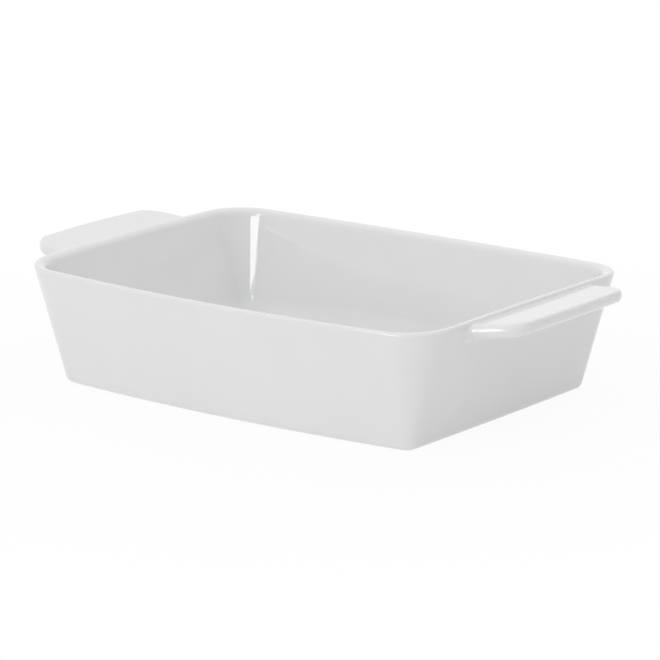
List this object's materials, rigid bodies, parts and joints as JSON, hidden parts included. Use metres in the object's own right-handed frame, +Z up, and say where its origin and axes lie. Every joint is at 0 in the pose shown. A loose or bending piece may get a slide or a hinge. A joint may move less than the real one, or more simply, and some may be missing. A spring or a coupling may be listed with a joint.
{
  "type": "baking dish",
  "caption": "Deep rectangular baking dish of white glazed ceramic with sloping bowed walls, a flat lip with rounded edges and wide tab handles on its ends.",
  "frame": {"origin": "middle of the foot, on the surface that the dish stands on", "axes": "+X along the length, towards the right handle; +Y towards the far long wall; +Z up"},
  "size_m": [0.3984, 0.2398, 0.0825],
  "materials": {
    "glaze": "glossy white glaze",
    "bisque": "matt fired clay"
  },
  "bodies": {
    "root": {"dish_body": "glaze", "right_handle": "glaze", "left_handle": "glaze", "right_luting_slip": "bisque", "left_luting_slip": "bisque"}
  },
  "joints": []
}
